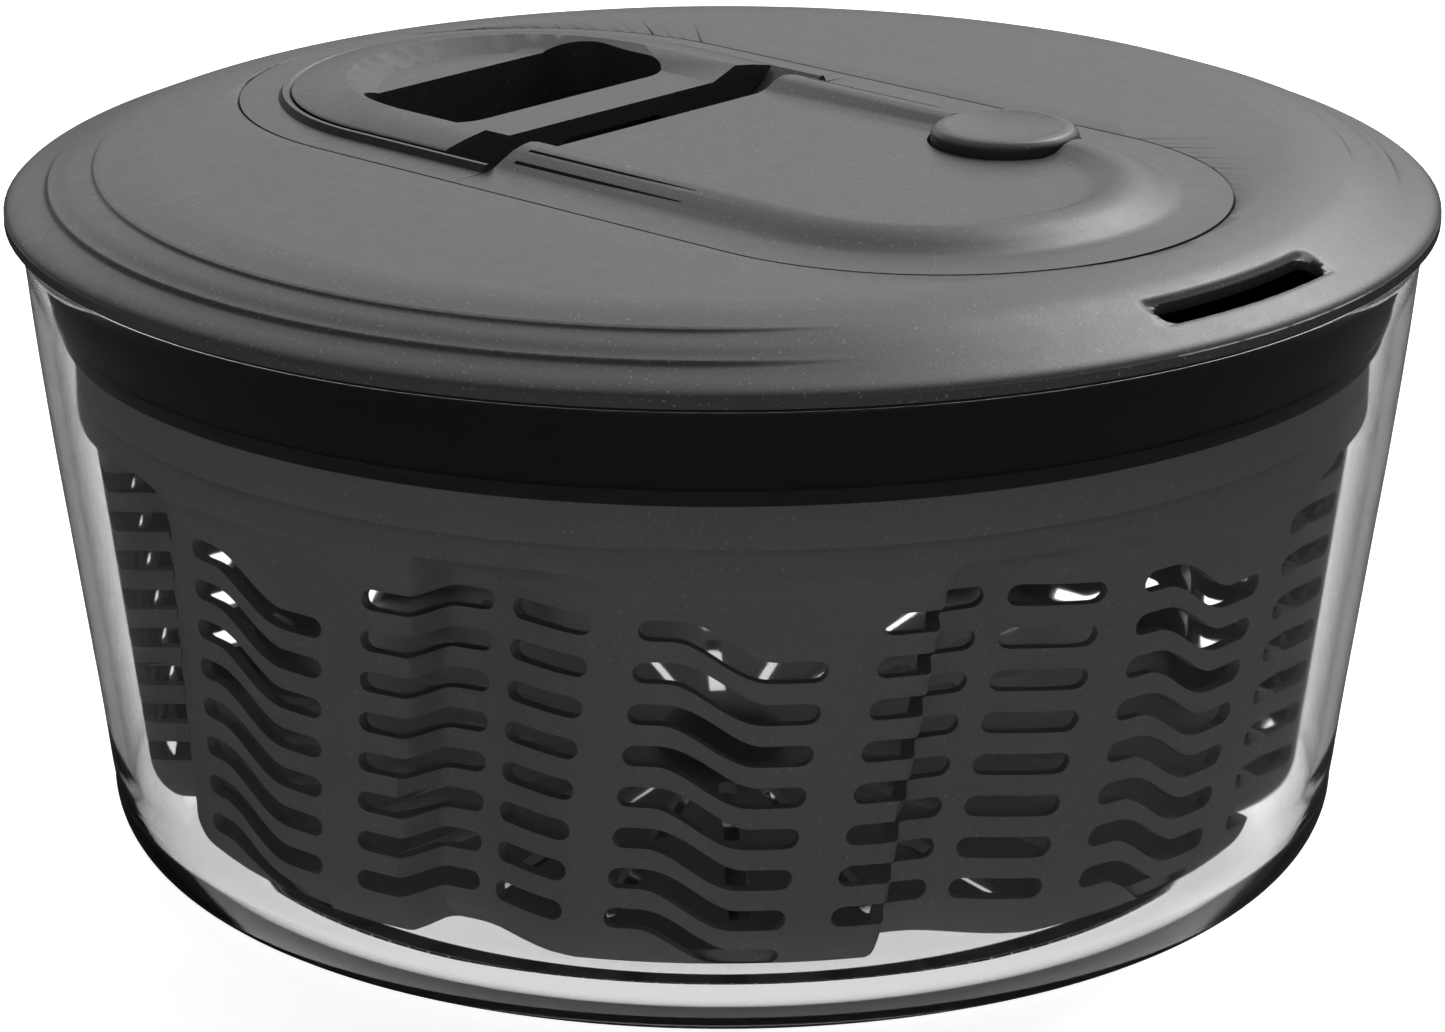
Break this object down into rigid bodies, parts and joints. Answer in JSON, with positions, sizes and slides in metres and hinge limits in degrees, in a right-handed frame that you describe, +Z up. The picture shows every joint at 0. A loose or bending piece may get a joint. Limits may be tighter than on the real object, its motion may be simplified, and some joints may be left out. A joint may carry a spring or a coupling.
{
  "type": "salad spinner",
  "caption": "Salad spinner: clear bowl, slotted fluted basket and domed lid with a pull handle, brake button and pour slot.",
  "frame": {"origin": "centre of the base, on the table, under the spin axis", "axes": "+Z up along the spin axis, +X from the pull handle to the pour slot"},
  "size_m": [0.264, 0.264, 0.1365],
  "materials": {
    "clear_plastic": "polished clear plastic",
    "soft_clear": "translucent soft",
    "basket_plastic": "fine matte, lightly mottled",
    "bush_plastic": "smooth",
    "lid_plastic": "fine matte with tiny light speckles",
    "inner_plastic": "smooth black",
    "seal_rubber": "soft",
    "handle_plastic": "fine matte with tiny light speckles",
    "button_plastic": "fine matte",
    "screw_steel": "zinc plated",
    "axle_steel": "ground",
    "spring_steel": "rolled strip",
    "cord_fibre": "braided",
    "reel_plastic": "smooth",
    "clutch_plastic": "natural acetal",
    "disc_plastic": "smooth"
  },
  "bodies": {
    "bowl_body": {"bowl": "clear_plastic", "foot_ring": "soft_clear"},
    "basket_body": {"basket": "basket_plastic", "pivot_bush": "bush_plastic"},
    "lid_body": {"lid_shell": "lid_plastic", "lid_inner": "inner_plastic", "lid_seal": "seal_rubber", "lid_screws": "screw_steel", "mechanism_cover": "lid_plastic", "mechanism_base": "inner_plastic", "base_screws": "screw_steel", "pull_cord": "cord_fibre", "cord_guide": "axle_steel", "drive_axle": "axle_steel", "axle_clip": "spring_steel", "thrust_washer": "bush_plastic", "spring_case": "inner_plastic", "return_spring": "spring_steel", "brake_spring": "spring_steel"},
    "handle_body": {"handle_top": "handle_plastic", "handle_bottom": "handle_plastic", "handle_screws": "screw_steel", "cord_ferrule": "axle_steel"},
    "reel_body": {"reel": "reel_plastic", "reel_cap": "reel_plastic", "cord_winding": "cord_fibre", "ratchet_arms": "clutch_plastic"},
    "drive_body": {"drive_disc": "disc_plastic", "ratchet_ring": "clutch_plastic"},
    "button_body": {"brake_button": "button_plastic", "brake_pad": "seal_rubber"}
  },
  "joints": [
    {"name": "basket_spin", "type": "hinge", "parent": "bowl_body", "child": "basket_body", "pos_m": [0, 0, 0.015], "axis": [0, 0, 1], "range_deg": [0, 1432.3]},
    {"name": "lid_lift", "type": "slide", "parent": "bowl_body", "child": "lid_body", "axis": [0, 0, 1], "range_m": [0, 0.15]},
    {"name": "handle_pull", "type": "slide", "parent": "lid_body", "child": "handle_body", "axis": [-0.8192, 0, 0.5736], "range_m": [0, 0.4]},
    {"name": "reel_spin", "type": "hinge", "parent": "lid_body", "child": "reel_body", "pos_m": [0, 0, 0.115], "axis": [0, 0, 1], "range_deg": [0, 1432.4]},
    {"name": "drive_spin", "type": "hinge", "parent": "lid_body", "child": "drive_body", "pos_m": [0, 0, 0.098], "axis": [0, 0, 1], "range_deg": [0, 1432.4]},
    {"name": "brake_press", "type": "slide", "parent": "lid_body", "child": "button_body", "axis": [0, 0, -1], "range_m": [0, 0.003], "stiffness_N_per_m": 400, "springref_m": -0.003, "deforming": ["brake_spring"]}
  ],
  "couplings": [
    {"joint": "handle_pull", "follows": "basket_spin", "m_per_rad": 0.016},
    {"joint": "reel_spin", "follows": "basket_spin", "ratio": 1},
    {"joint": "drive_spin", "follows": "basket_spin", "ratio": 1}
  ]
}
